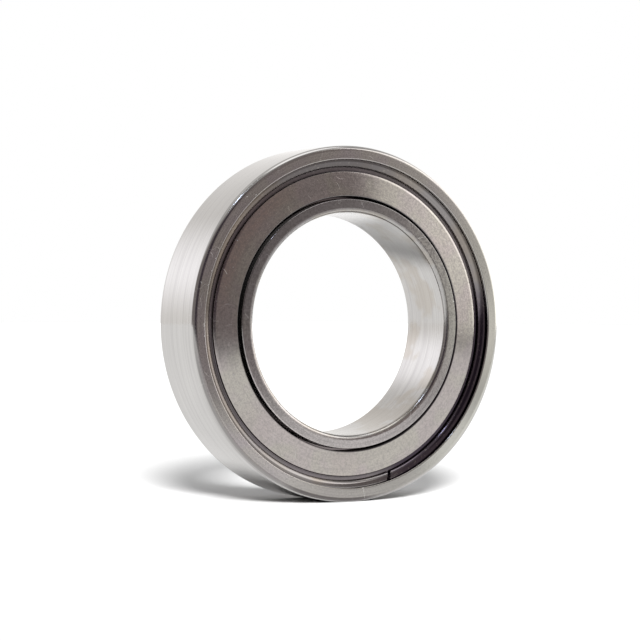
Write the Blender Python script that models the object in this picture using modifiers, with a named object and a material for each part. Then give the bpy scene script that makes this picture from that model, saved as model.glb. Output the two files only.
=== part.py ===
"""A shielded deep-groove ball bearing for a 15 mm shaft, standing on its rim.

The bearing's axis lies along Y and its front face looks towards -Y. The origin is the
bearing's centre. Two rings run on a row of balls that a riveted ribbon cage keeps
apart. A pressed metal shield closes each side, held in the outer ring by a snap ring.

Every turned piece is drawn as a profile of (radius, height) points in millimetres,
where height is measured along the bearing's axis from its middle towards the front.
"""

import math

import bmesh
import bpy
from mathutils import Matrix, Vector

MM = 0.001
MERGE_DISTANCE = 1e-6

# Boundary sizes of the whole bearing, in millimetres.
BORE_RADIUS = 7.5
OUTER_RADIUS = 12.0
HALF_WIDTH = 2.5

# The ball set and its running fit.
BALL_COUNT = 14
BALL_RADIUS = 1.1905
PITCH_RADIUS = 9.75
GROOVE_RADIUS = 1.25
RACE_CLEARANCE = 0.03
GROOVE_DEPTH = 0.40

# Rings.
OUTER_CORNER = 0.35
BORE_CORNER = 0.32
EDGE_BREAK = 0.07
LIP_RADIUS = 11.08
LIP_LENGTH = 0.20
SNAP_GROOVE_RADIUS = 11.34
SEAT_DEPTH = 0.88
INNER_SHOULDER_RADIUS = 8.40
INNER_STEP_DEPTH = 0.98

# Shields, with depths measured from the ring's side face.
SHIELD_THICKNESS = 0.20
SHIELD_BORE_RADIUS = 8.62
SHIELD_INNER_DEPTH = 0.20
SHIELD_SHOULDER_RADIUS = 10.08
SHIELD_SHOULDER_DEPTH = 0.43
SHIELD_WALL_RADIUS = 10.28
SHIELD_FLANGE_DEPTH = 0.65
SHIELD_OUTER_RADIUS = 11.26

# Snap rings: oval wire, cut through on a slant.
SNAP_INNER_RADIUS = 10.46
SNAP_OUTER_RADIUS = 11.28
SNAP_FRONT_DEPTH = 0.23
SNAP_THICKNESS = 0.39
SNAP_GAP = 0.85
SNAP_GAP_SLANT = math.radians(25)
SNAP_GAP_ANGLE = {"front": math.radians(163.5), "back": math.radians(40)}

# Ribbon cage: two pressed halves that meet between the balls.
CAGE_THICKNESS = 0.20
CAGE_INNER_RADIUS = 9.25
CAGE_OUTER_RADIUS = 10.25
CAGE_POCKET_RADIUS = 1.27
CAGE_MEETING_GAP = 0.01

# Rivets.
RIVET_RADIUS = 0.20
RIVET_HOLE_RADIUS = 0.24
RIVET_HEAD_RADIUS = 0.40
RIVET_HEAD_HEIGHT = 0.14
RIVET_HEAD_GAP = 0.01

# How finely curves are divided.
RING_STEPS = 60
RACE_STEPS = 6
CORNER_STEPS = 3
WIRE_STEPS = 12
POCKET_STEPS = 6
RIVET_STEPS = 8
BALL_SEGMENTS = 12
BALL_RINGS = 8

BALL_ANGLE = 2 * math.pi / BALL_COUNT
TO_FRONT = math.radians(90)
SHARP_ANGLE = math.radians(28)
HALF_FACET = math.pi / RING_STEPS

SIDES = {"front": 1, "back": -1}


def clear_scene():
    """Remove every object that the file starts with."""
    for item in list(bpy.data.objects):
        bpy.data.objects.remove(item, do_unlink=True)


def make_collection(name):
    """Make a collection in the scene."""
    collection = bpy.data.collections.new(name)
    bpy.context.scene.collection.children.link(collection)
    return collection


def make_material(name, color, roughness, metallic=1.0):
    """Make a Principled BSDF material."""
    material = bpy.data.materials.new(name)
    material.use_nodes = True
    shader = material.node_tree.nodes["Principled BSDF"]
    shader.inputs["Base Color"].default_value = (*color, 1.0)
    shader.inputs["Roughness"].default_value = roughness
    shader.inputs["Metallic"].default_value = metallic
    return material


def add_object(name, mesh, collection, material=None, parent=None):
    """Put a mesh into a collection as a named object."""
    item = bpy.data.objects.new(name, mesh)
    collection.objects.link(item)
    item.parent = parent
    if material and not mesh.materials:
        mesh.materials.append(material)
    return item


def arc(center, radius, start, end, steps):
    """Points on an arc in the profile's plane, both ends included, angles in degrees."""
    angles = [math.radians(start + (end - start) * k / steps) for k in range(steps + 1)]
    return [(center[0] + radius * math.cos(a), center[1] + radius * math.sin(a)) for a in angles]


def mirrored(points):
    """The same points on the other side of the bearing's middle, in reverse order."""
    return [(r, -h) for r, h in reversed(points)]


def profile_mesh(name, points, closed):
    """A chain of edges through the (radius, height) points, in the XZ plane."""
    mesh = bpy.data.meshes.new(name)
    shape = bmesh.new()
    verts = [shape.verts.new((r * MM, 0.0, h * MM)) for r, h in points]
    pairs = list(zip(verts, verts[1:]))
    if closed:
        pairs.append((verts[-1], verts[0]))
    for pair in pairs:
        shape.edges.new(pair)
    shape.to_mesh(mesh)
    shape.free()
    return mesh


def turn(item, steps):
    """Turn an object's profile around its own Z axis."""
    screw = item.modifiers.new("turn", "SCREW")
    screw.axis = "Z"
    screw.steps = steps
    screw.render_steps = steps
    screw.use_merge_vertices = True
    screw.merge_threshold = MERGE_DISTANCE


def settle(item):
    """Make an object's modified shape its mesh, smooth except along its sharp edges."""
    bpy.context.view_layer.update()
    seen = item.evaluated_get(bpy.context.evaluated_depsgraph_get())
    item.data = bpy.data.meshes.new_from_object(seen)
    item.modifiers.clear()
    item.data.shade_smooth()
    item.data.set_sharp_from_angle(angle=SHARP_ANGLE)


def stand_up(item):
    """Lay the object's Z axis along the bearing's axis, with a flat facet underneath."""
    item.rotation_euler = (TO_FRONT, HALF_FACET, 0.0)


def turned_ring(name, points, collection, material, parent=None):
    """A ring turned from a closed profile that runs down its outer side."""
    mesh = profile_mesh(name, points, closed=True)
    item = add_object(name, mesh, collection, material, parent)
    turn(item, RING_STEPS)
    stand_up(item)
    settle(item)
    return item


def race_arc(bottom_radius, outward):
    """The raceway's groove from its upper edge to its lower edge, or the reverse.

    The outer ring's groove opens towards the axis and its profile runs upwards there.
    The inner ring's groove opens outwards and its profile runs downwards.
    """
    half_angle = math.degrees(math.acos(1 - GROOVE_DEPTH / GROOVE_RADIUS))
    if outward:
        center = (bottom_radius + GROOVE_RADIUS, 0.0)
        return arc(center, GROOVE_RADIUS, 180 - half_angle, 180 + half_angle, RACE_STEPS)
    center = (bottom_radius - GROOVE_RADIUS, 0.0)
    return arc(center, GROOVE_RADIUS, -half_angle, half_angle, RACE_STEPS)


def outer_ring_profile():
    """Outer ring: rounded corners, a lip over each snap-ring groove, seats and raceway."""
    corner_center = (OUTER_RADIUS - OUTER_CORNER, HALF_WIDTH - OUTER_CORNER)
    corner = arc(corner_center, OUTER_CORNER, 90, 0, CORNER_STEPS)
    lip_height = HALF_WIDTH - LIP_LENGTH
    seat_height = HALF_WIDTH - SEAT_DEPTH
    race_bottom = PITCH_RADIUS + BALL_RADIUS + RACE_CLEARANCE
    race = race_arc(race_bottom, outward=False)
    land_radius = race[0][0]
    front_inside = [
        (land_radius, seat_height),
        (SNAP_GROOVE_RADIUS, seat_height),
        (SNAP_GROOVE_RADIUS, lip_height),
        (LIP_RADIUS, lip_height),
        (LIP_RADIUS, HALF_WIDTH - EDGE_BREAK),
        (LIP_RADIUS + EDGE_BREAK, HALF_WIDTH),
    ]
    return corner + mirrored(corner) + mirrored(front_inside) + race + front_inside


def inner_ring_profile():
    """Inner ring: stepped shoulders under the shields, raceway, bore with round corners."""
    corner_center = (BORE_RADIUS + BORE_CORNER, HALF_WIDTH - BORE_CORNER)
    corner = arc(corner_center, BORE_CORNER, 180, 90, CORNER_STEPS)
    step_height = HALF_WIDTH - INNER_STEP_DEPTH
    race_bottom = PITCH_RADIUS - BALL_RADIUS - RACE_CLEARANCE
    race = race_arc(race_bottom, outward=True)
    land_radius = race[0][0]
    front_outside = [
        (INNER_SHOULDER_RADIUS - EDGE_BREAK, HALF_WIDTH),
        (INNER_SHOULDER_RADIUS, HALF_WIDTH - EDGE_BREAK),
        (INNER_SHOULDER_RADIUS, step_height),
        (land_radius, step_height),
    ]
    return front_outside + race + mirrored(front_outside) + mirrored(corner) + corner


def shield_profile(side):
    """The outer surface of a shield, from its bore out to its flange's edge."""
    points = [
        (SHIELD_BORE_RADIUS, HALF_WIDTH - SHIELD_INNER_DEPTH),
        (SHIELD_SHOULDER_RADIUS, HALF_WIDTH - SHIELD_SHOULDER_DEPTH),
        (SHIELD_WALL_RADIUS, (HALF_WIDTH - SHIELD_SHOULDER_DEPTH) - SHIELD_THICKNESS / 2),
        (SHIELD_WALL_RADIUS, HALF_WIDTH - SHIELD_FLANGE_DEPTH),
        (SHIELD_OUTER_RADIUS, HALF_WIDTH - SHIELD_FLANGE_DEPTH),
    ]
    return points if side > 0 else mirrored(points)


def snap_ring_profile(side):
    """The snap ring's oval wire, wider than it is thick."""
    middle_radius = (SNAP_INNER_RADIUS + SNAP_OUTER_RADIUS) / 2
    half_wide = (SNAP_OUTER_RADIUS - SNAP_INNER_RADIUS) / 2
    half_thick = SNAP_THICKNESS / 2
    middle_height = HALF_WIDTH - SNAP_FRONT_DEPTH - half_thick
    circle = arc((0.0, 0.0), 1.0, 90, -270, WIRE_STEPS)[:-1]
    points = [(middle_radius + half_wide * x, middle_height + half_thick * y) for x, y in circle]
    return points if side > 0 else mirrored(points)


def around_axis(radius, angle, height=0.0):
    """A place at an angle clockwise from the top, as seen from the front."""
    return Vector((radius * math.sin(angle), -height, radius * math.cos(angle))) * MM


def make_rings(collection, steel):
    """The two raceway rings."""
    turned_ring("outer_ring", outer_ring_profile(), collection, steel)
    turned_ring("inner_ring", inner_ring_profile(), collection, steel)


def make_shield(side_name, collection, material):
    """One pressed shield: a turned open sheet, thickened towards the balls."""
    side = SIDES[side_name]
    name = f"{side_name}_shield"
    mesh = profile_mesh(name, shield_profile(side), closed=False)
    item = add_object(name, mesh, collection, material)
    turn(item, RING_STEPS)
    sheet = item.modifiers.new("sheet", "SOLIDIFY")
    sheet.thickness = SHIELD_THICKNESS * MM
    sheet.offset = -1.0
    sheet.use_even_offset = True
    stand_up(item)
    settle(item)


def make_gap_cutter(side_name, cutters):
    """The slanted box that cuts through a snap ring."""
    side = SIDES[side_name]
    angle = SNAP_GAP_ANGLE[side_name]
    mesh = bpy.data.meshes.new(f"{side_name}_gap_cutter")
    shape = bmesh.new()
    bmesh.ops.create_cube(shape, size=1.0)
    shape.to_mesh(mesh)
    shape.free()
    size = Vector((SNAP_GAP, 2 * SNAP_THICKNESS, 2 * (SNAP_OUTER_RADIUS - SNAP_INNER_RADIUS))) * MM
    mesh.transform(Matrix.Diagonal((*size, 1.0)))
    item = add_object(mesh.name, mesh, cutters)
    middle_radius = (SNAP_INNER_RADIUS + SNAP_OUTER_RADIUS) / 2
    middle_height = HALF_WIDTH - SNAP_FRONT_DEPTH - SNAP_THICKNESS / 2
    item.location = around_axis(middle_radius, angle, side * middle_height)
    item.rotation_euler = (0.0, angle + SNAP_GAP_SLANT, 0.0)
    item.display_type = "WIRE"
    item.hide_render = True
    return item


def make_snap_ring(side_name, collection, cutters, material):
    """One snap ring, cut open on a slant."""
    name = f"{side_name}_snap_ring"
    item = turned_ring(name, snap_ring_profile(SIDES[side_name]), collection, material)
    gap = item.modifiers.new("gap", "BOOLEAN")
    gap.operation = "DIFFERENCE"
    gap.solver = "EXACT"
    gap.object = make_gap_cutter(side_name, cutters)
    settle(item)


def pocket_outline():
    """One pitch of the ribbon as (offset, height) points, from a rivet to the next.

    The offset runs along the pitch circle from the ball's middle. The ribbon lies flat
    at the rivets and arches over the ball.
    """
    flat_height = CAGE_MEETING_GAP
    start = math.degrees(math.asin(flat_height / CAGE_POCKET_RADIUS))
    arch = arc((0.0, 0.0), CAGE_POCKET_RADIUS, 180 - start, start, POCKET_STEPS)
    return arch


def ribbon_point(ball_angle, offset, height, radius):
    """A ribbon point at a distance from the axis, offset sideways from a ball's middle."""
    reach = math.sqrt(radius ** 2 - offset ** 2)
    outwards = Vector((math.sin(ball_angle), 0.0, math.cos(ball_angle)))
    sideways = Vector((math.cos(ball_angle), 0.0, -math.sin(ball_angle)))
    return (outwards * reach + sideways * offset + Vector((0.0, -height, 0.0))) * MM


def make_cage_half(side_name, collection, cutters, material, parent):
    """One half of the ribbon cage: a wavy open sheet, thickened away from the balls."""
    side = SIDES[side_name]
    name = f"cage_{side_name}_half"
    mesh = bpy.data.meshes.new(name)
    shape = bmesh.new()
    rails = []
    for radius in (CAGE_INNER_RADIUS, CAGE_OUTER_RADIUS):
        rail = []
        for k in range(BALL_COUNT):
            for offset, height in pocket_outline():
                place = ribbon_point(k * BALL_ANGLE, offset, side * height, radius)
                rail.append(shape.verts.new(place))
            rivet_place = around_axis(radius, (k + 0.5) * BALL_ANGLE, side * CAGE_MEETING_GAP)
            rail.append(shape.verts.new(rivet_place))
        rails.append(rail)
    count = len(rails[0])
    for k in range(count):
        after = (k + 1) % count
        corners = [rails[0][k], rails[0][after], rails[1][after], rails[1][k]]
        shape.faces.new(corners if side > 0 else reversed(corners))
    shape.to_mesh(mesh)
    shape.free()
    item = add_object(name, mesh, collection, material, parent)
    sheet = item.modifiers.new("sheet", "SOLIDIFY")
    sheet.thickness = CAGE_THICKNESS * MM
    sheet.offset = 1.0
    sheet.use_even_offset = True
    holes = item.modifiers.new("rivet_holes", "BOOLEAN")
    holes.operation = "DIFFERENCE"
    holes.solver = "EXACT"
    holes.object = cutters.objects["rivet_hole_cutter"]
    settle(item)


def make_rivet_hole_cutter(cutters):
    """One object that holds a cylinder for every rivet hole."""
    mesh = bpy.data.meshes.new("rivet_hole_cutter")
    shape = bmesh.new()
    for k in range(BALL_COUNT):
        place = Matrix.Translation(around_axis(PITCH_RADIUS, (k + 0.5) * BALL_ANGLE))
        bmesh.ops.create_cone(
            shape,
            cap_ends=True,
            segments=RIVET_STEPS,
            radius1=RIVET_HOLE_RADIUS * MM,
            radius2=RIVET_HOLE_RADIUS * MM,
            depth=4 * CAGE_THICKNESS * MM,
            matrix=place @ Matrix.Rotation(TO_FRONT, 4, "X"),
        )
    shape.to_mesh(mesh)
    shape.free()
    item = add_object(mesh.name, mesh, cutters)
    item.display_type = "WIRE"
    item.hide_render = True


def rivet_profile():
    """A rivet from its front head's middle, down its outer side, to its back head's."""
    head_bottom = CAGE_MEETING_GAP + CAGE_THICKNESS + RIVET_HEAD_GAP
    head_top = head_bottom + RIVET_HEAD_HEIGHT
    front = [
        (0.0, head_top),
        (RIVET_HEAD_RADIUS, head_top - RIVET_HEAD_HEIGHT / 3),
        (RIVET_HEAD_RADIUS, head_bottom),
        (RIVET_RADIUS, head_bottom),
    ]
    return front + mirrored(front)


def make_rivets(collection, material, parent):
    """One rivet between each pair of balls."""
    first = add_object("cage_rivet_01", profile_mesh("rivet", rivet_profile(), closed=False),
                       collection, material, parent)
    turn(first, RIVET_STEPS)
    settle(first)
    rivets = [first]
    for k in range(1, BALL_COUNT):
        name = f"cage_rivet_{k + 1:02d}"
        rivets.append(add_object(name, first.data, collection, parent=parent))
    for k, item in enumerate(rivets):
        item.location = around_axis(PITCH_RADIUS, (k + 0.5) * BALL_ANGLE)
        item.rotation_euler = (TO_FRONT, 0.0, 0.0)


def make_balls(collection, material, parent):
    """The balls, each with its origin at its own middle."""
    mesh = bpy.data.meshes.new("ball")
    shape = bmesh.new()
    bmesh.ops.create_uvsphere(
        shape,
        u_segments=BALL_SEGMENTS,
        v_segments=BALL_RINGS,
        radius=BALL_RADIUS * MM,
    )
    shape.to_mesh(mesh)
    shape.free()
    mesh.shade_smooth()
    for k in range(BALL_COUNT):
        item = add_object(f"ball_{k + 1:02d}", mesh, collection, material, parent)
        item.location = around_axis(PITCH_RADIUS, k * BALL_ANGLE)
        item.rotation_euler = (TO_FRONT, 0.0, 0.0)


def main():
    """Build the bearing."""
    clear_scene()
    parts = make_collection("ball_bearing")
    cutters = make_collection("cutters")
    ring_steel = make_material("ring_steel", (0.62, 0.61, 0.60), 0.28)
    shield_steel = make_material("shield_steel", (0.55, 0.53, 0.51), 0.35)
    spring_steel = make_material("spring_steel", (0.30, 0.26, 0.27), 0.18)
    cage_steel = make_material("cage_steel", (0.50, 0.49, 0.47), 0.40)
    ball_steel = make_material("ball_steel", (0.75, 0.75, 0.76), 0.08)

    make_rings(parts, ring_steel)
    for side_name in SIDES:
        make_shield(side_name, parts, shield_steel)
        make_snap_ring(side_name, parts, cutters, spring_steel)

    cage_spin = add_object("cage_spin", None, parts)
    make_rivet_hole_cutter(cutters)
    for side_name in SIDES:
        make_cage_half(side_name, parts, cutters, cage_steel, cage_spin)
    make_rivets(parts, cage_steel, cage_spin)
    make_balls(parts, ball_steel, cage_spin)


main()
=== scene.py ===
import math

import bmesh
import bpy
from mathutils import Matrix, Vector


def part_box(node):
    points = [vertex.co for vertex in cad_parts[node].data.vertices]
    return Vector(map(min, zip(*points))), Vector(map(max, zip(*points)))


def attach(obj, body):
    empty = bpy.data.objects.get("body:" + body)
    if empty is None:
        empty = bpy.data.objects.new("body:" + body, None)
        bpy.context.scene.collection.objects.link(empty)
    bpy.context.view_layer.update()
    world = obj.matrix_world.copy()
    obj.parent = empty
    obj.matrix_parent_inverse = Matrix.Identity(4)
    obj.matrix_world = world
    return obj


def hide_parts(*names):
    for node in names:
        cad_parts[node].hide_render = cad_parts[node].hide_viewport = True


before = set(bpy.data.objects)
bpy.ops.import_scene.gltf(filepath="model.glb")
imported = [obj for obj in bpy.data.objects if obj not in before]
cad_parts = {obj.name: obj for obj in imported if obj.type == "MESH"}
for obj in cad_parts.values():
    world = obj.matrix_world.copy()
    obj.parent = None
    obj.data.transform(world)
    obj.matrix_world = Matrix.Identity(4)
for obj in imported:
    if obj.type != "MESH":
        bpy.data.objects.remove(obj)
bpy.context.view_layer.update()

# A shielded deep-groove ball bearing standing on its rim on a white table.
#
# The bearing's axis lies along Y, its front face looks towards -Y and its middle is the
# origin. Turned pieces are drawn as profiles of (radius, height, fillet) corners in
# millimetres, where height runs along the axis from the middle towards the front. A depth
# is measured inwards from a side face, and an edge is the radius of a rounded edge.

MM = 0.001

# Rings.
HALF_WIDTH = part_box("outer_ring")[1].y / MM
OUTER_RADIUS = 12.0
BORE_RADIUS = 7.5
OUTER_CORNER = 0.34
BORE_CORNER = 0.32
LIP_RADIUS = 11.08
LIP_LENGTH = 0.20
LIP_EDGE = 0.07
SNAP_GROOVE_RADIUS = 11.34
SNAP_GROOVE_FILLET = 0.02
SEAT_DEPTH = 0.88
SEAT_FILLET = 0.05
SHOULDER_RADIUS = 8.40
SHOULDER_EDGE = 0.07
STEP_DEPTH = 0.98
LAND_FILLET = 0.04
PITCH_RADIUS = 9.75
BALL_RADIUS = 1.1905
RACE_RADIUS = 1.25
RACE_CLEARANCE = 0.03
RACE_DEPTH = 0.40

# Shields.
SHIELD_THICKNESS = 0.20
SHIELD_BORE_RADIUS = 8.58
SHIELD_BORE_EDGE = 0.08
SHIELD_BORE_BACK_EDGE = 0.04
SHIELD_INNER_DEPTH = 0.20
SHIELD_BEND_RADIUS = 10.12
SHIELD_BEND_DEPTH = 0.458
SHIELD_BEND_FILLET = 1.0
SHIELD_SHOULDER_RADIUS = 10.28
SHIELD_SHOULDER_DEPTH = 0.499
SHIELD_SHOULDER_FILLET = 0.05
SHIELD_FLANGE_DEPTH = 0.65
SHIELD_FLANGE_FILLET = 0.06
SHIELD_FLANGE_BACK_FILLET = 0.10
SHIELD_OUTER_RADIUS = 11.26
SHIELD_OUTER_EDGE = 0.03

# Snap rings.
SNAP_INNER_RADIUS = 10.55
SNAP_CREST_RADIUS = 11.05
SNAP_OUTER_RADIUS = 11.28
SNAP_FRONT_DEPTH = 0.27
SNAP_THICKNESS = 0.38
SNAP_ROUND_DEPTH = 0.34
SNAP_CREST_DROP = 0.01
SNAP_CREST_BEVEL = 0.04
SNAP_BACK_BEVEL = 0.03
SNAP_GAP = 0.26
SNAP_GAP_SLANT = math.radians(35)
SNAP_GAP_ANGLE = {"front": math.radians(163.5), "back": math.radians(40)}
SNAP_END_ROUNDING = 0.03

# Balls.
BALL_COUNT = 14
BALL_ANGLE = math.tau / BALL_COUNT

# Cage and rivets. The strip's feet lean as they meet the arches, and the tips of the rivets'
# domes keep a tiny radius.
CAGE_THICKNESS = 0.20
CAGE_INNER_RADIUS = 9.25
CAGE_OUTER_RADIUS = 10.25
CAGE_POCKET_RADIUS = 1.27
CAGE_MEETING_GAP = 0.01
CAGE_EDGE = 0.03
CAGE_FOOT_LEAN = 0.7
RIVET_RADIUS = 0.20
RIVET_HEAD_RADIUS = 0.40
RIVET_HEAD_HEIGHT = 0.14
RIVET_HEAD_GAP = 0.01
RIVET_TIP_RADIUS = 0.001

# How finely curves are divided, and the flat run that is kept beside each fillet.
RING_STEPS = 288
WIRE_STEPS = 12
RACE_STEPS = 16
POCKET_STEPS = 24
RIVET_STEPS = 32
DOME_STEPS = 8
BALL_SUBDIVISIONS = 5
SNAP_END_SEGMENTS = 2
FILLET_STEP = math.radians(15)
FILLET_HOLD = 0.02
SMOOTH_ANGLE = math.radians(40)

# The table in metres: half its size, how far it reaches in front of the bearing, and the
# places along Y between which it grows lighter, first in front of the bearing, then under it.
TABLE_REACH = 0.8
TABLE_FRONT = 0.20
TABLE_DIM = -0.14
TABLE_NEAR = -0.06
TABLE_UNDER = -0.010
TABLE_FAR = 0.005

# The lamps: name, strength, width in degrees, and the direction that each hangs in.
LAMPS = (
    ("key", 7.4, 14, (-0.37, -0.82, 0.46)),
    ("fill", 0.95, 40, (0.40, -0.30, 0.87)),
)

# The camera, in degrees and millimetres. Its place is counted from the middle of the front
# face, along its own right, up and backward directions.
CAMERA_AZIMUTH = math.radians(30.25)
CAMERA_ELEVATION = math.radians(0.37)
CAMERA_LENS = 122.96
CAMERA_SENSOR = 36.0
CAMERA_RIGHT = -2.164
CAMERA_UP = 0.257
CAMERA_BACK = 147.093

# Nicks and scratches on the front: the (angle in degrees, radius) of both ends, and a width.
RING_NICKS = (
    ((44.8, 8.39), (42.1, 7.85), 0.022),
    ((79.8, 8.37), (79.0, 8.30), 0.030),
    ((175.5, 11.10), (175.2, 11.80), 0.014),
    ((176.0, 11.16), (175.4, 11.12), 0.030),
    ((283.6, 11.72), (283.2, 11.67), 0.035),
    ((266.0, 11.17), (266.4, 11.17), 0.030),
    ((269.2, 11.17), (270.3, 11.17), 0.030),
    ((283.0, 11.17), (283.3, 11.17), 0.030),
    ((288.0, 11.17), (288.3, 11.17), 0.030),
    ((292.4, 11.18), (292.7, 11.18), 0.030),
    ((319.0, 11.23), (319.2, 11.22), 0.030),
    ((316.0, 11.60), (316.3, 11.55), 0.025),
)
SHIELD_NICKS = (
    ((290.8, 10.15), (289.5, 9.85), 0.020),
    ((292.8, 9.62), (292.9, 9.60), 0.035),
    ((88.0, 9.30), (92.5, 9.05), 0.010),
    ((205.0, 9.90), (206.5, 9.35), 0.010),
)

# Patches along the snap rings' wire: a dark golden one, a near-black one at the top, and a darker one
# at the lower left, painted shade that dims the wire's reflection there. Each gives the angle in
# degrees, the cosines between which it fades in, its strength and its colour.
SPRING_TINTS = (
    (285.0, 0.55, 0.95, 0.70, (0.20, 0.15, 0.105)),
    (348.0, 0.75, 0.98, 0.65, (0.07, 0.06, 0.06)),
    (248.0, 0.70, 0.95, 0.50, (0.10, 0.092, 0.09)),
)

SIDES = {"front": 1, "back": -1}


# ---------------------------------------------------------------- shapes


def place(angle, radius):
    """A point in metres at an angle clockwise from the top, as seen from the front."""
    return Vector((radius * math.sin(angle), 0.0, radius * math.cos(angle))) * MM


def fillet_arc(before, here, after, radius):
    """A corner's fillet as an arc, with a point held flat on either side of it."""
    back, on = (before - here).normalized(), (after - here).normalized()
    half = back.angle(on) / 2
    reach = radius / math.tan(half)
    middle = here + (back + on).normalized() * radius / math.sin(half)
    first, last = here + back * reach - middle, here + on * reach - middle
    sweep = first.angle(last)
    steps = max(2, math.ceil(sweep / FILLET_STEP))
    shares = [k / steps for k in range(steps + 1)]
    bend = [
        middle + (first * math.sin((1 - s) * sweep) + last * math.sin(s * sweep)) / math.sin(sweep)
        for s in shares
    ]
    hold = reach + FILLET_HOLD
    return [here + back * hold] + bend + [here + on * hold]


def rounded(corners):
    """The points of a closed profile of (radius, height, fillet) corners."""
    flat = [Vector(corner[:2]) for corner in corners]
    points = []
    for k, corner in enumerate(corners):
        if corner[2]:
            points += fillet_arc(flat[k - 1], flat[k], flat[(k + 1) % len(flat)], corner[2])
        else:
            points.append(flat[k])
    return points


def mirrored(corners):
    """The same corners on the other side of the bearing's middle, in reverse order."""
    return [(r, -h, fillet) for r, h, fillet in reversed(corners)]


def finished(name, shape):
    """A bmesh in millimetres as a smooth object in metres, sharp only along hard edges."""
    bmesh.ops.recalc_face_normals(shape, faces=shape.faces)
    bmesh.ops.scale(shape, vec=(MM, MM, MM), verts=shape.verts)
    mesh = bpy.data.meshes.new(name)
    shape.to_mesh(mesh)
    shape.free()
    mesh.shade_smooth()
    mesh.set_sharp_from_angle(angle=SMOOTH_ANGLE)
    piece = bpy.data.objects.new(name, mesh)
    bpy.context.scene.collection.objects.link(piece)
    return piece


def skin(shape, rows, whole):
    """Join each row of corners to the next one with faces, and the last to the first if whole."""
    for row, after in zip(rows, rows[1:] + rows[:1] if whole else rows[1:]):
        for k in range(len(row)):
            shape.faces.new((row[k - 1], row[k], after[k], after[k - 1]))


def swept(points, sweep, steps):
    """A closed profile turned clockwise about the Y axis from the top, whole or part way."""
    whole = math.isclose(sweep, math.tau)
    shape = bmesh.new()
    rows = []
    for k in range(steps if whole else steps + 1):
        sine, cosine = math.sin(sweep * k / steps), math.cos(sweep * k / steps)
        rows.append([shape.verts.new((r * sine, -h, r * cosine)) for r, h in points])
    skin(shape, rows, whole)
    return shape


def turned(name, corners):
    """A whole ring from its profile's corners."""
    return finished(name, swept(rounded(corners), math.tau, RING_STEPS))


def race_corners(middle_radius, way):
    """A raceway's arc, from its front edge to its back edge. Way is 1 if it faces outwards."""
    half_angle = math.acos(1 - RACE_DEPTH / RACE_RADIUS)
    angles = [half_angle * (1 - 2 * k / RACE_STEPS) for k in range(RACE_STEPS + 1)]
    return [
        (middle_radius - way * RACE_RADIUS * math.cos(a), RACE_RADIUS * math.sin(a), 0.0)
        for a in angles
    ]


def outer_ring():
    """Outer ring: rounded corners, a lip over each snap-ring groove, seats, raceway."""
    race = race_corners(PITCH_RADIUS + BALL_RADIUS + RACE_CLEARANCE - RACE_RADIUS, -1)
    land_radius = race[0][0]
    seat = HALF_WIDTH - SEAT_DEPTH
    lip = HALF_WIDTH - LIP_LENGTH
    front = [
        (OUTER_RADIUS, HALF_WIDTH, OUTER_CORNER),
        (LIP_RADIUS, HALF_WIDTH, LIP_EDGE),
        (LIP_RADIUS, lip, SNAP_GROOVE_FILLET),
        (SNAP_GROOVE_RADIUS, lip, SNAP_GROOVE_FILLET),
        (SNAP_GROOVE_RADIUS, seat, SEAT_FILLET),
        (land_radius, seat, LAND_FILLET),
    ]
    return turned("outer_ring_turned", front + race + mirrored(front))


def inner_ring():
    """Inner ring: round bore corners, shoulders stepped down under the shields, raceway."""
    race = race_corners(PITCH_RADIUS - BALL_RADIUS - RACE_CLEARANCE + RACE_RADIUS, 1)
    land_radius = race[0][0]
    step = HALF_WIDTH - STEP_DEPTH
    front = [
        (BORE_RADIUS, HALF_WIDTH, BORE_CORNER),
        (SHOULDER_RADIUS, HALF_WIDTH, SHOULDER_EDGE),
        (SHOULDER_RADIUS, step, LAND_FILLET),
        (land_radius, step, LAND_FILLET),
    ]
    return turned("inner_ring_turned", front + race + mirrored(front))


def shield(side_name):
    """A pressed shield: a dished annulus, a rounded shoulder and a flange under the snap ring."""
    rim = HALF_WIDTH - SHIELD_INNER_DEPTH
    shoulder = HALF_WIDTH - SHIELD_SHOULDER_DEPTH
    flange = HALF_WIDTH - SHIELD_FLANGE_DEPTH
    thick = SHIELD_THICKNESS
    corners = [
        (SHIELD_BORE_RADIUS, rim, SHIELD_BORE_EDGE),
        (SHIELD_BEND_RADIUS, HALF_WIDTH - SHIELD_BEND_DEPTH, SHIELD_BEND_FILLET),
        (SHIELD_SHOULDER_RADIUS, shoulder, SHIELD_SHOULDER_FILLET),
        (SHIELD_SHOULDER_RADIUS, flange, SHIELD_FLANGE_FILLET),
        (SHIELD_OUTER_RADIUS, flange, SHIELD_OUTER_EDGE),
        (SHIELD_OUTER_RADIUS, flange - thick, SHIELD_OUTER_EDGE),
        (SHIELD_SHOULDER_RADIUS - thick, flange - thick, SHIELD_FLANGE_BACK_FILLET),
        (SHIELD_SHOULDER_RADIUS - thick, shoulder - thick, 0.0),
        (SHIELD_BORE_RADIUS, rim - thick, SHIELD_BORE_BACK_EDGE),
    ]
    if SIDES[side_name] < 0:
        corners = mirrored(corners)
    return turned(f"{side_name}_shield_pressed", corners)


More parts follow.
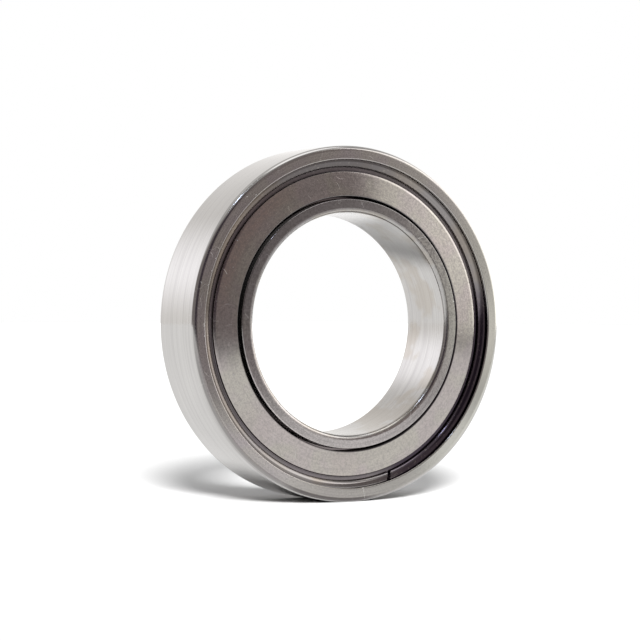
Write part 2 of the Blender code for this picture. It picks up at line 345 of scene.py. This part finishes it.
def snap_ring(side_name):
    """A wire bent round, rounded towards the shield, with slanted ends that leave a gap."""
    front = HALF_WIDTH - SNAP_FRONT_DEPTH
    crest = front - SNAP_CREST_DROP
    back = front - SNAP_THICKNESS
    wide = SNAP_CREST_RADIUS - SNAP_INNER_RADIUS
    bend = [math.pi / 2 * k / WIRE_STEPS for k in range(WIRE_STEPS + 1)]
    wire = [
        (SNAP_CREST_RADIUS - wide * math.cos(a), front - SNAP_ROUND_DEPTH * (1 - math.sin(a)))
        for a in bend
    ] + [
        (SNAP_OUTER_RADIUS - SNAP_CREST_BEVEL, crest),
        (SNAP_OUTER_RADIUS, crest - SNAP_CREST_BEVEL),
        (SNAP_OUTER_RADIUS, back + SNAP_BACK_BEVEL),
        (SNAP_OUTER_RADIUS - SNAP_BACK_BEVEL, back),
        (SNAP_INNER_RADIUS + SNAP_BACK_BEVEL, back),
        (SNAP_INNER_RADIUS, back + SNAP_BACK_BEVEL),
    ]
    middle_radius = (SNAP_INNER_RADIUS + SNAP_OUTER_RADIUS) / 2
    opening = SNAP_GAP / middle_radius
    shape = swept([(r, SIDES[side_name] * h) for r, h in wire], math.tau - opening, RING_STEPS)
    ends = bmesh.ops.holes_fill(shape, edges=shape.edges)["faces"]
    rims = list({edge for face in ends for edge in face.edges})
    bmesh.ops.bevel(
        shape, geom=rims, offset=SNAP_END_ROUNDING, segments=SNAP_END_SEGMENTS, affect="EDGES"
    )
    start = SNAP_GAP_ANGLE[side_name] + opening / 2
    for vert in shape.verts:
        radius = math.hypot(vert.co.x, vert.co.z)
        slant = math.tan(SNAP_GAP_SLANT) * (radius - middle_radius) / radius
        vert.co = Matrix.Rotation(start + slant, 3, "Y") @ vert.co
    return finished(f"{side_name}_snap_ring_wire", shape)


def cage_section():
    """The cage strip's section, as (radius, how far through its thickness) corners."""
    middle = (CAGE_INNER_RADIUS + CAGE_OUTER_RADIUS) / 2
    half = (CAGE_OUTER_RADIUS - CAGE_INNER_RADIUS) / 2
    inner = [
        (-half + CAGE_EDGE, 0.0),
        (-half, CAGE_EDGE),
        (-half, CAGE_THICKNESS - CAGE_EDGE),
        (-half + CAGE_EDGE, CAGE_THICKNESS),
    ]
    outer = [(-across, through) for across, through in reversed(inner)]
    return [(middle + across, through) for across, through in inner + outer]


def cage_arch():
    """The strip's inside over one ball, as (offset, height, lean, rise) places.

    Lean and rise tell which way the strip's thickness grows at each place.
    """
    start = math.asin(CAGE_MEETING_GAP / CAGE_POCKET_RADIUS)
    span = math.pi - 2 * start
    angles = [math.pi - start - span * k / POCKET_STEPS for k in range(POCKET_STEPS + 1)]
    ways = [(math.cos(angle), math.sin(angle)) for angle in angles]
    places = [(CAGE_POCKET_RADIUS * x, CAGE_POCKET_RADIUS * y, x, y) for x, y in ways]
    for end, lean in ((0, -CAGE_FOOT_LEAN), (-1, CAGE_FOOT_LEAN)):
        places[end] = (places[end][0], CAGE_MEETING_GAP, lean, CAGE_FOOT_LEAN)
    return places


def cage_half(side_name):
    """One half of the ribbon cage, flat at the rivets and arched over the balls."""
    side = SIDES[side_name]
    section = cage_section()
    to_rivet = Matrix.Rotation(BALL_ANGLE / 2, 3, "Y")
    shape = bmesh.new()
    rows = []
    for number in range(BALL_COUNT):
        turn = Matrix.Rotation(number * BALL_ANGLE, 3, "Y")
        for offset, height, lean, rise in cage_arch():
            row = []
            for radius, through in section:
                across = offset + through * lean
                along = -side * (height + through * rise)
                point = Vector((across, along, math.sqrt(radius ** 2 - across ** 2)))
                row.append(shape.verts.new(turn @ point))
            rows.append(row)
        flat = [Vector((0.0, -side * (CAGE_MEETING_GAP + through), r)) for r, through in section]
        rows.append([shape.verts.new(turn @ (to_rivet @ point)) for point in flat])
    skin(shape, rows, True)
    return finished(f"cage_{side_name}_half_pressed", shape)


def rivet(number):
    """A rivet with domed heads, between two balls."""
    bottom = CAGE_MEETING_GAP + CAGE_THICKNESS + RIVET_HEAD_GAP
    bend = [math.pi / 2 * k / DOME_STEPS for k in range(1, DOME_STEPS + 1)]
    dome = [(RIVET_HEAD_RADIUS * math.sin(a), bottom + RIVET_HEAD_HEIGHT * math.cos(a)) for a in bend]
    front = [(RIVET_TIP_RADIUS, bottom + RIVET_HEAD_HEIGHT)] + dome + [(RIVET_RADIUS, bottom)]
    points = front + [(r, -h) for r, h in reversed(front)]
    piece = finished(f"cage_rivet_{number:02d}_domed", swept(points, math.tau, RIVET_STEPS))
    piece.location = place((number - 0.5) * BALL_ANGLE, PITCH_RADIUS)
    return piece


def ball(number):
    """A round ball in the raceways."""
    shape = bmesh.new()
    bmesh.ops.create_icosphere(shape, subdivisions=BALL_SUBDIVISIONS, radius=BALL_RADIUS)
    piece = finished(f"ball_{number:02d}_round", shape)
    piece.location = place((number - 1) * BALL_ANGLE, PITCH_RADIUS)
    return piece


# ---------------------------------------------------------------- materials


def fill(tree, made, inputs):
    """Give a node its inputs, which are values to set or sockets to join."""
    for key, value in inputs.items():
        if isinstance(value, bpy.types.NodeSocket):
            tree.links.new(value, made.inputs[key])
        else:
            made.inputs[key].default_value = value


def node(tree, kind, inputs=None, **settings):
    """Add a node with its inputs and its other settings."""
    made = tree.nodes.new("ShaderNode" + kind)
    for key, value in settings.items():
        setattr(made, key, value)
    fill(tree, made, inputs or {})
    return made


def calc(tree, operation, first, second=0.0, third=0.0):
    """The output of a math node."""
    return node(tree, "Math", {0: first, 1: second, 2: third}, operation=operation).outputs[0]


def vector_calc(tree, operation, inputs, output="Vector"):
    """An output of a vector math node."""
    return node(tree, "VectorMath", inputs, operation=operation).outputs[output]


def times(tree, *factors):
    """The product of several sockets or values."""
    product = factors[0]
    for factor in factors[1:]:
        product = calc(tree, "MULTIPLY", product, factor)
    return product


def plus(tree, *parts):
    """The sum of several sockets or values."""
    total = parts[0]
    for part in parts[1:]:
        total = calc(tree, "ADD", total, part)
    return total


def smooth(tree, value, low, high, start=0.0, end=1.0):
    """A smooth ramp from start to end while a value runs from low to high."""
    ramp = node(
        tree,
        "MapRange",
        {"Value": value, "From Min": low, "From Max": high, "To Min": start, "To Max": end},
        interpolation_type="SMOOTHSTEP",
    )
    return ramp.outputs["Result"]


def mix_colors(tree, share, one, other):
    """Blend two colours, given as sockets or as (red, green, blue), by a share."""
    made = node(tree, "Mix", data_type="RGBA")
    one, other = ((*color, 1.0) if isinstance(color, tuple) else color for color in (one, other))
    fill(tree, made, {0: share, 6: one, 7: other})
    return made.outputs[2]


def new_material(name):
    """A new material, with its node tree and its Principled BSDF."""
    material = bpy.data.materials.new(name)
    material.use_nodes = True
    tree = material.node_tree
    return material, tree, tree.nodes["Principled BSDF"]


def measured(tree):
    """Sockets for a point of a turned piece, in millimetres.

    They give its radius, its depth under the nearer side face, its place along the axis,
    the sine and cosine of its angle from the top, and whether it is on the front half.
    """
    point = vector_calc(tree, "SCALE", {0: node(tree, "TexCoord").outputs["Object"], "Scale": 1 / MM})
    parts = node(tree, "SeparateXYZ", {0: point}).outputs
    flat = vector_calc(tree, "MULTIPLY", {0: point, 1: (1.0, 0.0, 1.0)})
    radius = vector_calc(tree, "LENGTH", {0: flat}, "Value")
    depth = calc(tree, "SUBTRACT", HALF_WIDTH, calc(tree, "ABSOLUTE", parts["Y"]))
    return {
        "point": point,
        "flat": flat,
        "radius": radius,
        "depth": depth,
        "y": parts["Y"],
        "sine": calc(tree, "DIVIDE", parts["X"], radius),
        "cosine": calc(tree, "DIVIDE", parts["Z"], radius),
        "front": smooth(tree, parts["Y"], 0.1, -0.1),
    }


def towards(tree, at, angle):
    """The cosine of how far round a point is from an angle clockwise from the top, in degrees."""
    across = times(tree, at["sine"], math.sin(math.radians(angle)))
    up = times(tree, at["cosine"], math.cos(math.radians(angle)))
    return plus(tree, across, up)


def patch(tree, at, angle, low, high, strength=1.0):
    """A soft patch about an angle, which fades between two cosines of the way round from it."""
    return smooth(tree, towards(tree, at, angle), low, high, 0.0, strength)


def painted_shade_low_right(tree, at):
    """Where shade is painted round the snap ring, low on the right."""
    return times(tree, patch(tree, at, 121.0, 0.64, 0.84), at["front"])


def noise(tree, inputs):
    """The value of a noise in four dimensions."""
    return node(tree, "TexNoise", inputs, noise_dimensions="4D").outputs["Fac"]


def lathe_noise(tree, at, across, around, detail=2.0, seed=0.0):
    """Noise drawn out around the axis, like the marks of a lathe or a grinding wheel."""
    vector = node(tree, "CombineXYZ", {
        "X": times(tree, at["radius"], across),
        "Y": times(tree, at["y"], across),
        "Z": times(tree, at["sine"], around),
    }).outputs[0]
    turn = calc(tree, "MULTIPLY_ADD", at["cosine"], around, seed)
    return noise(tree, {"Vector": vector, "W": turn, "Scale": 1.0, "Detail": detail})


def cloud_noise(tree, at, scale, detail=3.0, seed=0.0):
    """Soft noise, with its scale in swings per millimetre."""
    return noise(tree, {"Vector": at["point"], "W": seed, "Scale": scale, "Detail": detail})


def shifted(tree, value, change, share):
    """A value with part of a noise's swing about one half added to it."""
    return plus(tree, value, calc(tree, "MULTIPLY_ADD", change, share, -share / 2))


def mark(tree, at, start, end, width):
    """A thin scratch or nick on the front, between two (angle in degrees, radius) places."""
    first, last = (place(math.radians(angle), radius) / MM for angle, radius in (start, end))
    along = last - first
    offset = vector_calc(tree, "SUBTRACT", {0: at["flat"], 1: first})
    share = vector_calc(tree, "DOT_PRODUCT", {0: offset, 1: along / along.length_squared}, "Value")
    share = node(tree, "Clamp", {"Value": share}).outputs[0]
    nearest = vector_calc(tree, "SCALE", {0: along, "Scale": share})
    gap = vector_calc(tree, "DISTANCE", {0: offset, 1: nearest}, "Value")
    return times(tree, smooth(tree, gap, width, width / 3), at["front"])


def marks(tree, at, rows):
    """The strongest of several marks."""
    strongest = mark(tree, at, *rows[0])
    for row in rows[1:]:
        strongest = calc(tree, "MAXIMUM", strongest, mark(tree, at, *row))
    return strongest


def random_scratches(tree, at, scale, seed):
    """Sparse fine scratches in every direction, as thin contour lines of a noise."""
    lines = cloud_noise(tree, at, scale, 0.0, seed)
    near = calc(tree, "ABSOLUTE", calc(tree, "SUBTRACT", lines, 0.5))
    patches = cloud_noise(tree, at, 0.9, 1.0, seed + 3.0)
    return times(tree, smooth(tree, near, 0.004, 0.001), smooth(tree, patches, 0.54, 0.62))


def finish_steel(tree, shader, color, roughness, height, reach, anisotropic=0.4, metallic=1.0):
    """Join a metal's look to its shader, with its grain round the axis.

    Height counts in shares of reach, which is in millimetres.
    """
    bump = node(tree, "Bump", {"Height": height, "Strength": 1.0, "Distance": reach * MM})
    tangent = node(tree, "Tangent", direction_type="RADIAL", axis="Y")
    fill(tree, shader, {
        "Base Color": color,
        "Metallic": metallic,
        "Roughness": roughness,
        "Anisotropic": anisotropic,
        "Anisotropic Rotation": 0.25,
        "Tangent": tangent.outputs[0],
        "Normal": bump.outputs[0],
    })


def ring_tones(tree, at, face):
    """The rings' bare steel: in soft patches on the faces, greener low on the right."""
    patches = smooth(tree, cloud_noise(tree, at, 0.55), 0.38, 0.62)
    left_tone = mix_colors(tree, patches, (0.482, 0.450, 0.420), (0.470, 0.425, 0.430))
    toned = mix_colors(tree, patch(tree, at, 120.0, -0.4, 0.9), left_tone, (0.470, 0.462, 0.422))
    return mix_colors(tree, face, (0.475, 0.463, 0.450), toned)


def tone_inner_face(tree, at, color, inner_face, mottle):
    """The inner ring's face: painted darker at the upper left as shade and lighter at the bottom as a
    reflection, and pitted most at the upper left.
    """
    upper_left_shade = times(tree, inner_face, patch(tree, at, 330.0, 0.0, 0.8, 0.64))
    color = mix_colors(tree, upper_left_shade, color, (0.16, 0.15, 0.16))
    bottom_sheen = times(tree, inner_face, patch(tree, at, 175.0, 0.1, 0.75))
    color = mix_colors(tree, bottom_sheen, color, (0.575, 0.535, 0.525))
    spread = smooth(tree, towards(tree, at, 345.0), -0.6, 0.6, 0.25, 0.74)
    pits = times(tree, inner_face, smooth(tree, mottle, 0.40, 0.56, 1.0, 0.0), spread)
    return mix_colors(tree, pits, color, (0.20, 0.185, 0.185))


def tone_outer_face(tree, at, color, outer_face):
    """The outer ring's face: painted lighter low on the right as a reflection, and painted darker at
    the bottom as shade.
    """
    lower_right_sheen = times(tree, outer_face, patch(tree, at, 112.0, 0.75, 0.98, 0.75))
    color = mix_colors(tree, lower_right_sheen, color, (0.63, 0.62, 0.57))
    bottom_shade = times(tree, outer_face, patch(tree, at, 176.0, 0.85, 0.99, 0.45))
    return mix_colors(tree, bottom_shade, color, (0.26, 0.24, 0.23))


def darken_hollows(tree, at, color, in_gap):
    """Painted shade: the gap beside the shield, darkest on the right, and the snap ring's groove low
    on the right.
    """
    gap_right = patch(tree, at, 85.0, -0.2, 0.3)
    gap_tone = mix_colors(tree, gap_right, (0.22, 0.19, 0.19), (0.06, 0.052, 0.057))
    # Painted shade in the gap beside the shield, darker on the right.
    color = mix_colors(tree, in_gap, color, gap_tone)
    in_groove = times(
        tree,
        smooth(tree, at["radius"], 10.9, 11.0),
        smooth(tree, at["radius"], 11.5, 11.4),
        smooth(tree, at["depth"], 0.03, 0.10),
    )
    # Painted shade in the snap ring's groove, low on the right.
    return mix_colors(tree, times(tree, in_groove, painted_shade_low_right(tree, at)), color, (0.09, 0.075, 0.09))


def shade_corner(tree, at, color):
    """The rim's front corner, painted dark as shade at the lower left and where the ring stands, where
    it mirrors the table's shadow.
    """
    corner = times(
        tree,
        smooth(tree, at["radius"], 11.66, 11.74),
        smooth(tree, at["radius"], 11.97, 11.90),
        at["front"],
    )
    broad_shade = patch(tree, at, 215.0, 0.5, 0.8, 0.42)
    contact_shade = patch(tree, at, 188.0, 0.94, 0.985, 0.4)
    corner_shade = times(tree, corner, plus(tree, broad_shade, contact_shade))
    return mix_colors(tree, corner_shade, color, (0.07, 0.06, 0.06))


def ring_finish():
    """Ground bearing steel, polished on the rim and in the bore, a little stained and scratched."""
    material, tree, shader = new_material("ring_steel")
    at = measured(tree)
    grain = lathe_noise(tree, at, 26.0, 1.6)
    broad = lathe_noise(tree, at, 4.0, 1.2, 2.0, 5.0)
    mottle = cloud_noise(tree, at, 7.0, 4.0, 2.0)
    speck = cloud_noise(tree, at, 10.0, 3.0, 8.0)

    face = smooth(tree, at["depth"], 0.05, 0.01)
    inner = smooth(tree, at["radius"], 9.3, 9.1)
    inner_face = times(tree, inner, face)
    outer_face = times(tree, calc(tree, "SUBTRACT", face, inner_face), at["front"])
    in_bore = smooth(tree, at["radius"], 7.9, 7.6)
    wide_right = plus(tree, at["radius"], times(tree, towards(tree, at, 85.0), 0.03))
    in_gap = times(tree, smooth(tree, wide_right, 8.36, 8.40), inner)

    color = ring_tones(tree, at, face)
    color = tone_inner_face(tree, at, color, inner_face, mottle)
    specks = times(tree, face, smooth(tree, speck, 0.36, 0.54, 0.48, 0.0))
    color = mix_colors(tree, specks, color, (0.22, 0.21, 0.205))
    color = mix_colors(tree, smooth(tree, grain, 0.36, 0.58, 0.36, 0.0), color, (0.26, 0.25, 0.245))
    color = mix_colors(tree, smooth(tree, broad, 0.32, 0.50, 0.26, 0.0), color, (0.32, 0.30, 0.305))
    color = tone_outer_face(tree, at, color, outer_face)
    stain = smooth(tree, cloud_noise(tree, at, 0.50, 3.0, 11.0), 0.48, 0.60, 0.0, 0.50)
    color = mix_colors(tree, times(tree, stain, in_bore), color, (0.36, 0.32, 0.27))
    color = darken_hollows(tree, at, color, in_gap)
    color = shade_corner(tree, at, color)
    scratches = times(tree, random_scratches(tree, at, 1.6, 7.0), 0.5)
    worn = calc(tree, "MAXIMUM", marks(tree, at, RING_NICKS), scratches)
    color = mix_colors(tree, times(tree, worn, 0.8), color, (0.62, 0.61, 0.60))

    roughness = smooth(tree, at["depth"], 0.30, 0.02, 0.085, 0.13)
    roughness = plus(tree, roughness, times(tree, in_bore, 0.08), times(tree, worn, 0.25))
    roughness = shifted(tree, shifted(tree, roughness, broad, 0.06), mottle, 0.05)
    height = plus(
        tree,
        broad,
        times(tree, grain, 0.35),
        times(tree, mottle, 0.35),
        times(tree, face, speck, 0.5),
        times(tree, worn, -3.0),
    )
    # The steel is a little less metallic in the gap, whose colour is painted dark as shade.
    metallic = smooth(tree, in_gap, 0.0, 1.0, 1.0, 0.88)
    finish_steel(tree, shader, color, roughness, height, 0.0011, metallic=metallic)
    return material


def shield_tones(tree, at, cloud):
    """The shields' bare steel, in soft patches with faint tints, browner at the upper left."""
    patches = smooth(tree, cloud, 0.42, 0.58)
    color = mix_colors(tree, patches, (0.482, 0.455, 0.410), (0.475, 0.430, 0.416))
    tint = smooth(tree, cloud_noise(tree, at, 0.30, 1.0, 21.0), 0.50, 0.68, 0.0, 0.30)
    color = mix_colors(tree, tint, color, (0.44, 0.38, 0.37))
    outwards = smooth(tree, at["radius"], 9.0, 9.8)
    brown = times(tree, patch(tree, at, 305.0, 0.80, 0.98, 0.5), outwards, at["front"])
    return mix_colors(tree, brown, color, (0.44, 0.31, 0.28))


def darken_edges(tree, at, color, bore_edge):
    """Painted shade: darker towards the bore edge and nearly black on it beside the gap, and dark on
    the flange under the snap ring, darkest in its crevice and low on the right.
    """
    near_edge = smooth(tree, at["radius"], 8.70, 8.64, 0.0, 0.55)
    color = mix_colors(tree, near_edge, color, (0.12, 0.11, 0.12))
    color = mix_colors(tree, bore_edge, color, (0.03, 0.027, 0.03))
    flange = smooth(tree, at["radius"], 10.255, 10.275)
    color = mix_colors(tree, times(tree, flange, 0.70), color, (0.10, 0.085, 0.10))
    crevice = times(tree, flange, smooth(tree, at["radius"], 10.42, 10.36, 0.0, 0.45))
    color = mix_colors(tree, crevice, color, (0.05, 0.042, 0.05))
    return mix_colors(tree, times(tree, flange, painted_shade_low_right(tree, at)), color, (0.06, 0.048, 0.062))


def shield_finish():
    """Satin pressed sheet steel with turned lines, faint tints and a few marks."""
    material, tree, shader = new_material("shield_steel")
    at = measured(tree)
    grain = lathe_noise(tree, at, 20.0, 2.5, 2.0, 3.0)
    broad = lathe_noise(tree, at, 3.0, 2.2, 2.0, 9.0)
    cloud = cloud_noise(tree, at, 0.45, 2.0, 4.0)
    mottle = cloud_noise(tree, at, 5.0, 4.0, 6.0)
    speck = cloud_noise(tree, at, 9.0, 3.0, 12.0)
    bore_edge = smooth(tree, at["radius"], 8.645, 8.61)

    color = shield_tones(tree, at, cloud)
    color = mix_colors(tree, smooth(tree, grain, 0.36, 0.58, 0.26, 0.0), color, (0.27, 0.255, 0.25))
    color = mix_colors(tree, smooth(tree, mottle, 0.36, 0.54, 0.36, 0.0), color, (0.29, 0.27, 0.265))
    color = mix_colors(tree, smooth(tree, speck, 0.38, 0.54, 0.30, 0.0), color, (0.24, 0.225, 0.22))
    color = darken_edges(tree, at, color, bore_edge)
    scratches = times(tree, random_scratches(tree, at, 1.3, 17.0), 0.4)
    worn = calc(tree, "MAXIMUM", marks(tree, at, SHIELD_NICKS), scratches)
    color = mix_colors(tree, times(tree, worn, 0.8), color, (0.60, 0.59, 0.58))

    roughness = shifted(tree, shifted(tree, 0.145, mottle, 0.08), broad, 0.06)
    roughness = plus(tree, roughness, times(tree, worn, 0.2))
    height = plus(
        tree,
        broad,
        times(tree, grain, 0.4),
        times(tree, cloud, 8.0),
        times(tree, mottle, 0.8),
        times(tree, speck, 0.4),
        times(tree, worn, -3.0),
    )
    # The steel is less metallic at the bore edge, whose colour is painted dark as shade.
    metallic = smooth(tree, bore_edge, 0.0, 1.0, 1.0, 0.8)
    finish_steel(tree, shader, color, roughness, height, 0.0012, metallic=metallic)
    return material


def spring_finish():
    """Dark glossy spring steel, drawn along the wire, tinted in places, with shade painted low on the
    right and at the lower left.
    """
    material, tree, shader = new_material("spring_steel")
    at = measured(tree)
    grain = lathe_noise(tree, at, 18.0, 2.0, 2.0, 13.0)
    cloud = cloud_noise(tree, at, 0.30, 2.0, 14.0)
    mottle = cloud_noise(tree, at, 6.0, 3.0, 15.0)
    color = mix_colors(tree, smooth(tree, cloud, 0.42, 0.60), (0.27, 0.255, 0.25), (0.28, 0.25, 0.22))
    for angle, low, high, strength, tone in SPRING_TINTS:
        tint = times(tree, patch(tree, at, angle, low, high, strength), at["front"])
        color = mix_colors(tree, tint, color, tone)
    # Painted shade on the wire, low on the right.
    color = mix_colors(tree, painted_shade_low_right(tree, at), color, (0.10, 0.08, 0.10))
    color = mix_colors(tree, smooth(tree, grain, 0.34, 0.60, 0.35, 0.0), color, (0.17, 0.15, 0.16))
    color = mix_colors(tree, smooth(tree, mottle, 0.58, 0.70, 0.0, 0.3), color, (0.50, 0.46, 0.40))
    roughness = shifted(tree, 0.13, mottle, 0.10)
    height = plus(tree, grain, times(tree, mottle, 0.6))
    finish_steel(tree, shader, color, roughness, height, 0.0012, anisotropic=0.3)
    return material


def cage_finish():
    """Pressed sheet steel, dull and a little oily."""
    material, tree, shader = new_material("cage_steel")
    at = measured(tree)
    mottle = cloud_noise(tree, at, 4.0, 4.0, 31.0)
    fine = cloud_noise(tree, at, 22.0, 3.0, 32.0)
    color = mix_colors(tree, smooth(tree, mottle, 0.35, 0.65), (0.50, 0.49, 0.47), (0.40, 0.385, 0.36))
    roughness = shifted(tree, 0.32, mottle, 0.16)
    finish_steel(tree, shader, color, roughness, plus(tree, fine, mottle), 0.0030, anisotropic=0.0)
    return material


def ball_finish():
    """Mirror-polished steel with a trace of oil."""
    material, tree, shader = new_material("ball_steel")
    at = measured(tree)
    film = cloud_noise(tree, at, 1.5, 3.0, 41.0)
    fine = cloud_noise(tree, at, 30.0, 2.0, 42.0)
    color = mix_colors(tree, smooth(tree, film, 0.40, 0.62), (0.74, 0.74, 0.75), (0.68, 0.67, 0.65))
    roughness = smooth(tree, film, 0.40, 0.70, 0.03, 0.09)
    finish_steel(tree, shader, color, roughness, fine, 0.0001, anisotropic=0.0)
    return material


# ---------------------------------------------------------------- light, table, camera


def facing(tree, direction, aim):
    """How nearly a direction points along another one, as a cosine."""
    return vector_calc(tree, "DOT_PRODUCT", {0: direction, 1: Vector(aim).normalized()}, "Value")


def mirrored_room(tree):
    """The colours of the room that the metal mirrors, by direction.

    It is dark in front and bright on the right, on the left and behind. Azimuth runs from -Y,
    the front, towards +X, in degrees, and elevation upwards.
    """
    dark_wall = (0.325, 0.293, 0.287)
    darkest = (0.085, 0.07, 0.085)
    right_wall = (0.98, 0.96, 0.93)
    white_wall = (2.4, 2.37, 2.33)
    back_wall = (1.08, 1.06, 1.04)
    left_low_wall = (1.22, 1.20, 1.18)
    left_wall = (1.80, 1.79, 1.84)
    ceiling = (0.85, 0.84, 0.83)
    dim_ceiling = (0.50, 0.49, 0.48)
    overhead_light = (2.1, 2.1, 2.1)
    small_lamp = (8.0, 9.3, 12.4)

    direction = node(tree, "TexCoord").outputs["Generated"]
    parts = node(tree, "SeparateXYZ", {0: direction}).outputs
    azimuth = calc(tree, "DEGREES", calc(tree, "ARCTAN2", parts["X"], times(tree, parts["Y"], -1.0)))
    elevation = calc(tree, "DEGREES", calc(tree, "ARCSINE", parts["Z"]))
    leaning = plus(tree, azimuth, times(tree, elevation, -0.3))
    climbing = plus(tree, azimuth, times(tree, elevation, 0.6))

    shade = times(
        tree,
        smooth(tree, azimuth, -46.0, -34.0),
        smooth(tree, azimuth, 9.0, 2.0),
        smooth(tree, elevation, 48.0, 34.0),
    )
    seen = mix_colors(tree, shade, dark_wall, darkest)
    seen = mix_colors(tree, smooth(tree, leaning, 28.5, 35.5), seen, right_wall)
    seen = mix_colors(tree, smooth(tree, climbing, 56.0, 61.5), seen, white_wall)
    seen = mix_colors(tree, smooth(tree, azimuth, 124.0, 142.0), seen, back_wall)
    left = mix_colors(tree, smooth(tree, elevation, 0.0, 16.0), left_low_wall, left_wall)
    seen = mix_colors(tree, smooth(tree, azimuth, -100.0, -128.0), seen, left)
    seen = mix_colors(tree, smooth(tree, azimuth, -155.0, -175.0), seen, back_wall)

    behind = smooth(tree, calc(tree, "ABSOLUTE", azimuth), 70.0, 95.0)
    above = times(tree, smooth(tree, elevation, 24.0, 42.0), behind)
    seen = mix_colors(tree, above, seen, ceiling)
    seen = mix_colors(tree, smooth(tree, elevation, 38.0, 52.0), seen, dim_ceiling)
    higher = times(tree, smooth(tree, elevation, 38.0, 60.0), behind)
    seen = mix_colors(tree, higher, seen, ceiling)
    overhead = smooth(tree, facing(tree, direction, (0.18, -0.14, 0.97)), 0.93, 0.975)
    seen = mix_colors(tree, overhead, seen, overhead_light)
    lamp = smooth(tree, facing(tree, direction, (-0.38, -0.37, 0.85)), 0.9976, 0.9992)
    return mix_colors(tree, lamp, seen, small_lamp)


def light_room():
    """The room round the bearing: white to the camera, evenly dim to matt surfaces."""
    world = bpy.data.worlds.new("room")
    bpy.context.scene.world = world
    world.use_nodes = True
    world.cycles.sampling_method = "NONE"
    tree = world.node_tree
    tree.nodes.clear()
    ray = node(tree, "LightPath").outputs
    seen = mirrored_room(tree)
    seen = mix_colors(tree, ray["Is Diffuse Ray"], seen, (0.24, 0.24, 0.24))
    seen = mix_colors(tree, ray["Is Camera Ray"], seen, (1.0, 1.0, 1.0))
    background = node(tree, "Background", {"Color": seen})
    node(tree, "OutputWorld", {"Surface": background.outputs[0]})


def lay_table():
    """A plain white table top under the bearing, which ends a little way in front of it.

    It is painted darker in front of the bearing, as shade that only the metal mirrors.
    """
    shape = bmesh.new()
    bmesh.ops.create_grid(shape, x_segments=1, y_segments=1, size=TABLE_REACH)
    bmesh.ops.translate(shape, vec=(0.0, TABLE_REACH - TABLE_FRONT, 0.0), verts=shape.verts)
    mesh = bpy.data.meshes.new("table")
    shape.to_mesh(mesh)
    shape.free()
    table = bpy.data.objects.new("table", mesh)
    bpy.context.scene.collection.objects.link(table)
    table.location = (0.0, 0.0, -OUTER_RADIUS * MM)
    material, tree, shader = new_material("table_white")
    along = node(tree, "SeparateXYZ", {0: node(tree, "TexCoord").outputs["Object"]}).outputs["Y"]
    nearer = smooth(tree, along, TABLE_DIM, TABLE_NEAR)
    color = mix_colors(tree, nearer, (0.25, 0.25, 0.25), (0.66, 0.66, 0.66))
    color = mix_colors(tree, smooth(tree, along, TABLE_UNDER, TABLE_FAR), color, (0.81, 0.81, 0.81))
    fill(tree, shader, {"Base Color": color, "Roughness": 1.0, "Specular IOR Level": 0.0})
    mesh.materials.append(material)


def hang_lights():
    """Two soft lamps that light the table and cast the shadow; the metal doesn't mirror them."""
    for name, strength, width, direction in LAMPS:
        lamp = bpy.data.lights.new(name, "SUN")
        lamp.energy = strength
        lamp.angle = math.radians(width)
        sun = bpy.data.objects.new(name, lamp)
        bpy.context.scene.collection.objects.link(sun)
        sun.rotation_euler = Vector(direction).to_track_quat("Z", "Y").to_euler()
        sun.visible_glossy = False


def set_camera():
    """The viewpoint: nearly level, in front and to the left, with a long lens."""
    right = Vector((math.cos(CAMERA_AZIMUTH), -math.sin(CAMERA_AZIMUTH), 0.0))
    level = Vector((-math.sin(CAMERA_AZIMUTH), -math.cos(CAMERA_AZIMUTH), 0.0))
    back = level * math.cos(CAMERA_ELEVATION) + Vector((0.0, 0.0, math.sin(CAMERA_ELEVATION)))
    up = back.cross(right)
    data = bpy.data.cameras.new("camera")
    data.sensor_width = CAMERA_SENSOR
    data.lens = CAMERA_LENS
    data.clip_start = MM
    data.clip_end = 10.0
    camera = bpy.data.objects.new("camera", data)
    bpy.context.scene.collection.objects.link(camera)
    front_middle = Vector((0.0, -HALF_WIDTH, 0.0))
    spot = front_middle + CAMERA_RIGHT * right + CAMERA_UP * up + CAMERA_BACK * back
    turn = Matrix((right, up, back)).transposed().to_4x4()
    camera.matrix_world = Matrix.Translation(spot * MM) @ turn
    bpy.context.scene.camera = camera


# ---------------------------------------------------------------- assembly


def fit(piece, body, node_name, material):
    """Put a finished piece in a CAD node's place."""
    piece.data.materials.append(material)
    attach(piece, body)
    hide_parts(node_name)


ring_steel = ring_finish()
shield_steel = shield_finish()
spring_steel = spring_finish()
cage_steel = cage_finish()
ball_steel = ball_finish()

fit(outer_ring(), "outer_ring_assembly", "outer_ring", ring_steel)
fit(inner_ring(), "inner_ring_body", "inner_ring", ring_steel)
for side_name in SIDES:
    fit(shield(side_name), "outer_ring_assembly", f"{side_name}_shield", shield_steel)
    fit(snap_ring(side_name), "outer_ring_assembly", f"{side_name}_snap_ring", spring_steel)
    fit(cage_half(side_name), "cage", f"cage_{side_name}_half", cage_steel)
for number in range(1, BALL_COUNT + 1):
    fit(rivet(number), "cage", f"cage_rivet_{number:02d}", cage_steel)
    fit(ball(number), f"ball_{number:02d}_body", f"ball_{number:02d}", ball_steel)

bpy.context.scene.view_settings.view_transform = "Standard"
light_room()
lay_table()
hang_lights()
set_camera()
